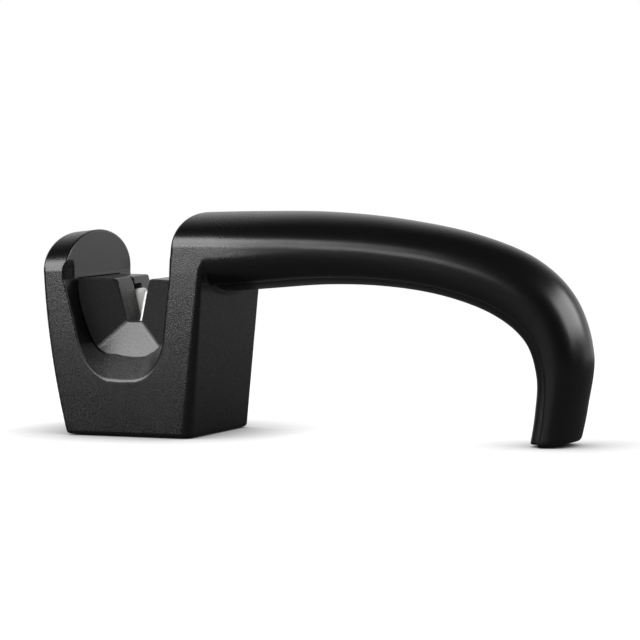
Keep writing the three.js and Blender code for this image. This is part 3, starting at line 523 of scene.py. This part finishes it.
# Rod: a profile turned about its axis, with a quarter arc at each end. The UV map is the way round and along
def rodMesh(name, side):
    count, tipRound, footRound = rod["sides"], rod["tipRound"], rod["footRound"]
    length = (rod["tip"] - rod["foot"]) / math.cos(rodLean)
    turn = np.linspace(0, math.pi / 2, rod["arcSteps"])
    footRadii = rod["radius"] - footRound + footRound * np.sin(turn)
    tipRadii = rod["radius"] - tipRound + tipRound * np.cos(turn)
    radii = np.concatenate([footRadii, tipRadii])
    heights = np.concatenate([footRound * (1 - np.cos(turn)), length - tipRound * (1 - np.sin(turn))])
    angle = np.arange(count) * 2 * math.pi / count
    a = radii[:, None] * np.cos(angle)
    b = radii[:, None] * np.sin(angle)
    h = np.repeat(heights[:, None], count, 1)
    x = rod["footX"] + a * math.cos(rodLean) + h * math.sin(rodLean)
    y = -rod["offset"] + b
    z = rod["foot"] - a * math.sin(rodLean) + h * math.cos(rodLean)
    points = np.stack([slotX + side * x, side * y, z], -1).reshape(-1, 3)
    ring = np.arange(len(radii) - 1)[:, None] * count
    here, after = np.arange(count), (np.arange(count) + 1) % count
    quads = np.stack([ring + here, ring + after, ring + count + after, ring + count + here], -1)
    ends = [list(range(count))[::-1], list(range((len(radii) - 1) * count, len(radii) * count))]
    mesh = bpy.data.meshes.new(name)
    mesh.from_pydata(points * metre, [], quads.reshape(-1, 4).tolist() + ends)
    uv = mesh.uv_layers.new(name="UVMap")
    where = np.empty(len(mesh.loops), int)
    mesh.loops.foreach_get("vertex_index", where)
    around = np.stack([where % count / count, heights[where // count] / length], 1)
    uv.data.foreach_set("uv", around.ravel())
    mesh.shade_smooth()
    return mesh


for name, side, body, node in (
        ("rodRight", 1, "right_rod", "rod_right"),
        ("rodLeft", -1, "left_rod", "rod_left")):
    piece = addObject(name, rodMesh(name, side))
    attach(piece, body)
    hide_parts(node)

# Sole: a thin pad with rolled edges and windows over the screws
sole = {"inset": 3.7, "thickness": 1.4, "corner": 4.0, "edge": 0.5, "window": 3.1, "screwEdge": 8.0}
baseLeft, baseRight = -90.92, -41.80
baseReach = (baseRight - baseLeft) / 2
screwReachX = baseReach - sole["screwEdge"]
screwReachY = head["baseHalf"] - sole["screwEdge"]


# A slab with rounded corners, as wide as the base less an inset, less a round window at each screw
def soleField(x, y, z):
    side, dx = np.abs(y), np.abs(x - (baseLeft + baseRight) / 2)
    inset, half = sole["inset"], sole["thickness"] / 2
    body = roundedMax(side - head["baseHalf"] + inset, dx - baseReach + inset, sole["corner"])
    window = sole["window"] - np.hypot(dx - screwReachX, side - screwReachY)
    return roundedMax(np.maximum(body, window), np.abs(z - half) - half, sole["edge"])


soleAxes = (gridAxis((-88.03, -44.5, 0.45)), gridAxis((-24.57, 24.8, 0.45)), gridAxis((-0.33, 1.9, 0.23)))
solePiece = fieldPiece("sole", soleField, soleAxes, keep=0.6)
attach(solePiece, "frame")
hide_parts("base_sole")


# Shader maths: a socket that adds, subtracts, multiplies and feeds other nodes
class Wire:
    def __init__(self, tree, socket):
        self.tree, self.socket = tree, socket

    def into(self, kind, links, output=0, **settings):
        node = self.tree.nodes.new(kind)
        for name, value in settings.items():
            setattr(node, name, value)
        for name, value in links.items():
            if isinstance(value, Wire):
                self.tree.links.new(value.socket, node.inputs[name])
            else:
                node.inputs[name].default_value = value
        return Wire(self.tree, node.outputs[output])

    def maths(self, operation, a, b):
        return self.into("ShaderNodeMath", {0: a, 1: b}, operation=operation)

    def __add__(self, other):
        return self.maths("ADD", self, other)

    def __radd__(self, other):
        return self.maths("ADD", other, self)

    def __sub__(self, other):
        return self.maths("SUBTRACT", self, other)

    def __rsub__(self, other):
        return self.maths("SUBTRACT", other, self)

    def __mul__(self, other):
        return self.maths("MULTIPLY", self, other)

    def noise(self, scale, detail, roughness):
        links = {"Vector": self, "Scale": scale, "Detail": detail, "Roughness": roughness}
        return self.into("ShaderNodeTexNoise", links)

    def tint(self, dark, light):
        dark, light = (colour if isinstance(colour, Wire) else (*colour, 1) for colour in (dark, light))
        # The mix node's sockets share their names, and these numbers are those for colours
        return self.into("ShaderNodeMix", {0: self, 6: dark, 7: light}, output=2, data_type="RGBA")

    def bump(self, strength, distance):
        return self.into("ShaderNodeBump", {"Height": self, "Strength": strength, "Distance": distance})


# Material with its place on the object, its shader and its UV map
def newMaterial(name):
    material = bpy.data.materials.new(name)
    material.use_nodes = True
    tree = material.node_tree
    shader = tree.nodes["Principled BSDF"]
    coords = tree.nodes.new("ShaderNodeTexCoord")
    return material, Wire(tree, coords.outputs["Object"]), shader, Wire(tree, coords.outputs["UV"])


# Wire led to an input of a shader
def feed(wire, shader, name):
    wire.tree.links.new(wire.socket, shader.inputs[name])


# For all plastics: scale of the patches, and how far colour and roughness follow a share of grain other than 1.
# The colour part is a painted highlight: specks lightened toward a paler tint
plasticLook = {
    "patchScale": 38.0, "paintedHighlightTint": (0.06, 0.06, 0.061), "tintFrom": 0.4, "tintGain": 3.0, "rougher": 0.13,
}


# Moulded plastic: a spark-eroded grain in the bump and the roughness, and faint patches of colour. Colour is
# mixed by grain and patches, with painted highlight specks where the share is not 1, and roughness lies a
# spread to each side of its mean
def plastic(name, dark, light, roughness, spread, scale, strength, distance, varied=False):
    material, place, shader, _ = newMaterial(name)
    fine = place.noise(scale, detail=1.0, roughness=0.5)
    patches = place.noise(plasticLook["patchScale"], detail=3.0, roughness=0.55)
    share = place.into("ShaderNodeAttribute", {}, output="Fac", attribute_name="grain_and_highlight") if varied else 1.0
    colour = (patches * 0.5 + fine * 0.5).tint(dark, light)
    if varied:
        # Painted highlight: where the share is not 1 the colour is lightened in specks, most on the up-facing
        # ledges
        specks = (share - 1.0) * (fine - plasticLook["tintFrom"]) * plasticLook["tintGain"]
        colour = specks.tint(colour, plasticLook["paintedHighlightTint"])
    feed(colour, shader, "Base Color")
    uneven = (fine * 0.6 + patches * 0.4) * (2 * spread)
    feed(roughness - spread + uneven + (share - 1.0) * plasticLook["rougher"], shader, "Roughness")
    feed((fine * share).bump(strength, distance), shader, "Normal")
    return material


black = {"dark": (0.0018, 0.0018, 0.0019), "light": (0.0032, 0.0032, 0.0033), "spread": 0.05, "strength": 1.0}
shellLook = {**black, "roughness": 0.275, "scale": 2600.0, "distance": 0.00004, "varied": True}
linerLook = {**black, "roughness": 0.31, "scale": 2700.0, "distance": 0.00005}
guideLook = {
    "dark": (0.014, 0.014, 0.0144), "light": (0.022, 0.022, 0.0224), "roughness": 0.26, "spread": 0.05,
    "scale": 2700.0, "strength": 1.0, "distance": 0.00007,
}
shellPlastic = plastic("shellPlastic", **shellLook)
linerPlastic = plastic("linerPlastic", **linerLook)
guidePlastic = plastic("guidePlastic", **guideLook)

ceramicLook = {
    "dark": (0.84, 0.83, 0.81), "light": (0.92, 0.915, 0.90), "roughness": 0.30, "spread": 0.16,
    "stretch": (3.0, 160.0, 1.0), "speckScale": 1900.0, "strength": 0.25, "distance": 0.00003,
}


# Ground ceramic: fine lines that run round the rod, and specks
def ceramic(look):
    material, place, shader, uv = newMaterial("rodCeramic")
    stretched = uv.into("ShaderNodeMapping", {"Vector": uv, "Scale": look["stretch"]})
    lines = stretched.noise(scale=1.0, detail=3.0, roughness=0.6)
    specks = place.noise(look["speckScale"], detail=2.0, roughness=0.5)
    feed((lines * 0.6 + specks * 0.4).tint(look["dark"], look["light"]), shader, "Base Color")
    feed(look["roughness"] + lines * look["spread"], shader, "Roughness")
    feed((lines * 0.7 + specks * 0.3).bump(look["strength"], look["distance"]), shader, "Normal")
    return material


rubberLook = {
    "speckScale": 1500.0, "patchScale": 60.0, "roughness": 0.74, "spread": 0.18, "strength": 0.35,
    "distance": 0.00008, "specular": 0.35,
}


# Rubber: matt, with fine specks and faint patches
def rubber(name, dark, light, look):
    material, place, shader, _ = newMaterial(name)
    specks = place.noise(look["speckScale"], detail=3.0, roughness=0.6)
    patches = place.noise(look["patchScale"], detail=2.0, roughness=0.5)
    feed((specks * 0.5 + patches * 0.5).tint(dark, light), shader, "Base Color")
    feed(look["roughness"] + specks * look["spread"], shader, "Roughness")
    feed(specks.bump(look["strength"], look["distance"]), shader, "Normal")
    shader.inputs["Specular IOR Level"].default_value = look["specular"]
    return material


steelLook = {
    "dark": (0.42, 0.43, 0.45), "light": (0.62, 0.63, 0.64), "roughness": 0.26, "spread": 0.2,
    "stretch": (1.0, 6.0, 6.0), "lineScale": 700.0, "patchScale": 420.0, "strength": 0.15, "distance": 0.00003,
}


# Steel: fine scratches along x, and patches
def steel(look):
    material, place, shader, _ = newMaterial("screwSteel")
    stretched = place.into("ShaderNodeMapping", {"Vector": place, "Scale": look["stretch"]})
    scratches = stretched.noise(look["lineScale"], detail=3.0, roughness=0.6)
    patches = place.noise(look["patchScale"], detail=2.0, roughness=0.5)
    feed((scratches * 0.5 + patches * 0.5).tint(look["dark"], look["light"]), shader, "Base Color")
    feed(look["roughness"] + scratches * look["spread"], shader, "Roughness")
    feed(scratches.bump(look["strength"], look["distance"]), shader, "Normal")
    shader.inputs["Metallic"].default_value = 1.0
    return material


rodCeramic = ceramic(ceramicLook)
soleRubber = rubber("soleRubber", dark=(0.022, 0.022, 0.023), light=(0.038, 0.038, 0.039), look=rubberLook)
cushionRubber = rubber("cushionRubber", dark=(0.08, 0.08, 0.082), light=(0.12, 0.12, 0.122), look=rubberLook)
screwSteel = steel(steelLook)
finishes = {
    "shell": shellPlastic, "liner": linerPlastic, "frontGuide": guidePlastic, "rearGuide": guidePlastic,
    "rodRight": rodCeramic, "rodLeft": rodCeramic, "sole": soleRubber, "base_plate": linerPlastic,
    "rod_cushion_right": cushionRubber, "rod_cushion_left": cushionRubber,
}
for piece in list(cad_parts.values()) + [bpy.data.objects[name] for name in finishes]:
    piece.data.materials.clear()
    piece.data.materials.append(finishes.get(piece.name, screwSteel))  # what isn't listed is a screw
print("materials set")

# Floor: white paper for the camera, with the object's shadow on it, and a dim table for other rays.
# Near the object the paper's glow is darkened by ambient occlusion, which paints a contact shadow
# beside the lamps' own shadow
paper = {
    "reach": 0.5, "roughness": 0.9, "table": (0.08, 0.08, 0.08), "paper": (0.15, 0.15, 0.15),
    "glow": (0.92, 0.92, 0.92), "shadowReach": 0.034, "shadowPower": 1.6, "shadowSamples": 16,
}
reach = paper["reach"]
floorCorners = [(-reach, -reach, 0), (reach, -reach, 0), (reach, reach, 0), (-reach, reach, 0)]
floorMesh = bpy.data.meshes.new("floor")
floorMesh.from_pydata(floorCorners, [], [(0, 1, 2, 3)])
floor = addObject("floor", floorMesh)
floorLook = bpy.data.materials.new("floorPaper")
floorLook.use_nodes = True
floorTree = floorLook.node_tree
floorShader = floorTree.nodes["Principled BSDF"]
floorShader.inputs["Roughness"].default_value = paper["roughness"]
floorShader.inputs["Specular IOR Level"].default_value = 0.0
floorShader.inputs["Emission Strength"].default_value = 1.0
path = floorTree.nodes.new("ShaderNodeLightPath")
seen = Wire(floorTree, path.outputs["Is Camera Ray"])
# Painted contact shadow: ambient occlusion near the object, raised to a power, darkens the paper's glow
near = seen.into(
    "ShaderNodeAmbientOcclusion", {"Distance": paper["shadowReach"]}, output="AO", samples=paper["shadowSamples"])
near = near.maths("POWER", near, paper["shadowPower"])
feed(seen.tint(paper["table"], paper["paper"]), floorShader, "Base Color")
feed((seen * near).tint((0, 0, 0), paper["glow"]), floorShader, "Emission Color")
floorMesh.materials.append(floorLook)

# World: white for the camera, and for other rays a white wall low behind the object under a dark ceiling. The wall
# fades in over a range of y, out over a range of z, and ends below the horizon
studio = {
    "behind": (0.1, 0.6), "upwards": (0.1, 0.95), "horizon": (-0.1, -0.015),
    "dim": 0.01, "diffuse": 0.35, "wall": 0.8, "wallDiffuse": 1.0,
}
world = bpy.data.worlds.new("studio")
bpy.context.scene.world = world
world.use_nodes = True
worldTree = world.node_tree
backdrop = worldTree.nodes["Background"]
backdrop.inputs["Color"].default_value = (1, 1, 1, 1)
path = worldTree.nodes.new("ShaderNodeLightPath")
direction = Wire(worldTree, worldTree.nodes.new("ShaderNodeTexCoord").outputs["Generated"])


# Smooth step from first to last, as one part of the direction goes from start to end
def fading(axis, start, end, first, last):
    part = direction.into("ShaderNodeSeparateXYZ", {"Vector": direction}, output=axis)
    links = {"Value": part, "From Min": start, "From Max": end, "To Min": first, "To Max": last}
    return part.into("ShaderNodeMapRange", links, interpolation_type="SMOOTHSTEP")


seen = Wire(worldTree, path.outputs["Is Camera Ray"])
wall = fading("Y", *studio["behind"], first=0.0, last=1.0) * fading("Z", *studio["upwards"], first=1.0, last=0.0)
wall = wall * fading("Z", *studio["horizon"], first=0.0, last=1.0)
diffuse = Wire(worldTree, path.outputs["Is Diffuse Ray"])
unseen = studio["dim"] + diffuse * studio["diffuse"] + wall * (studio["wall"] + diffuse * studio["wallDiffuse"])
feed(seen + (1.0 - seen) * unseen, backdrop, "Strength")

# Lamps: a softbox in front to the left, a long one on the right, and small ones in front of the head and the grip
lamps = {
    "leftSoftbox": {"place": (-0.64, -0.82, 0.69), "size": (1.0, 0.76), "power": 18.5, "spread": 180},
    "rightSoftbox": {"place": (1.01, 0.20, 0.62), "size": (1.33, 0.60), "power": 14.0, "spread": 180},
    "headSoftbox": {"place": (-0.257, -0.49, 0.12), "size": (0.3, 0.1), "power": 0.05, "spread": 33},
    "gripSoftbox": {"place": (-0.04, -0.57, 0.235), "size": (0.13, 0.16), "power": 0.3, "spread": 180},
}
lampAim = Vector((-0.05, 0, 0.05))
for name, lamp in lamps.items():
    light = bpy.data.lights.new(name, "AREA")
    light.energy = lamp["power"]
    light.shape = "RECTANGLE"
    light.spread = math.radians(lamp["spread"])
    light.size, light.size_y = lamp["size"]
    holder = bpy.data.objects.new(name, light)
    bpy.context.scene.collection.objects.link(holder)
    holder.location = lamp["place"]
    holder.rotation_euler = (lampAim - Vector(lamp["place"])).to_track_quat("-Z", "Y").to_euler()

# Camera, as found from the photo
view = {
    "place": (0.53962, -1.33067, 0.13539), "target": (-0.00282, 0.0, 0.04225),
    "lens": 225.0, "sensor": 36.0, "clipEnd": 60.0,
}
camera = bpy.data.cameras.new("camera")
camera.lens = view["lens"]
camera.sensor_width = view["sensor"]
camera.clip_end = view["clipEnd"]
cameraObject = bpy.data.objects.new("camera", camera)
bpy.context.scene.collection.objects.link(cameraObject)
cameraObject.location = view["place"]
aim = Vector(view["target"]) - Vector(view["place"])
cameraObject.rotation_euler = aim.to_track_quat("-Z", "Y").to_euler()
bpy.context.scene.camera = cameraObject
bpy.context.scene.view_settings.view_transform = "Standard"
print("stage set")
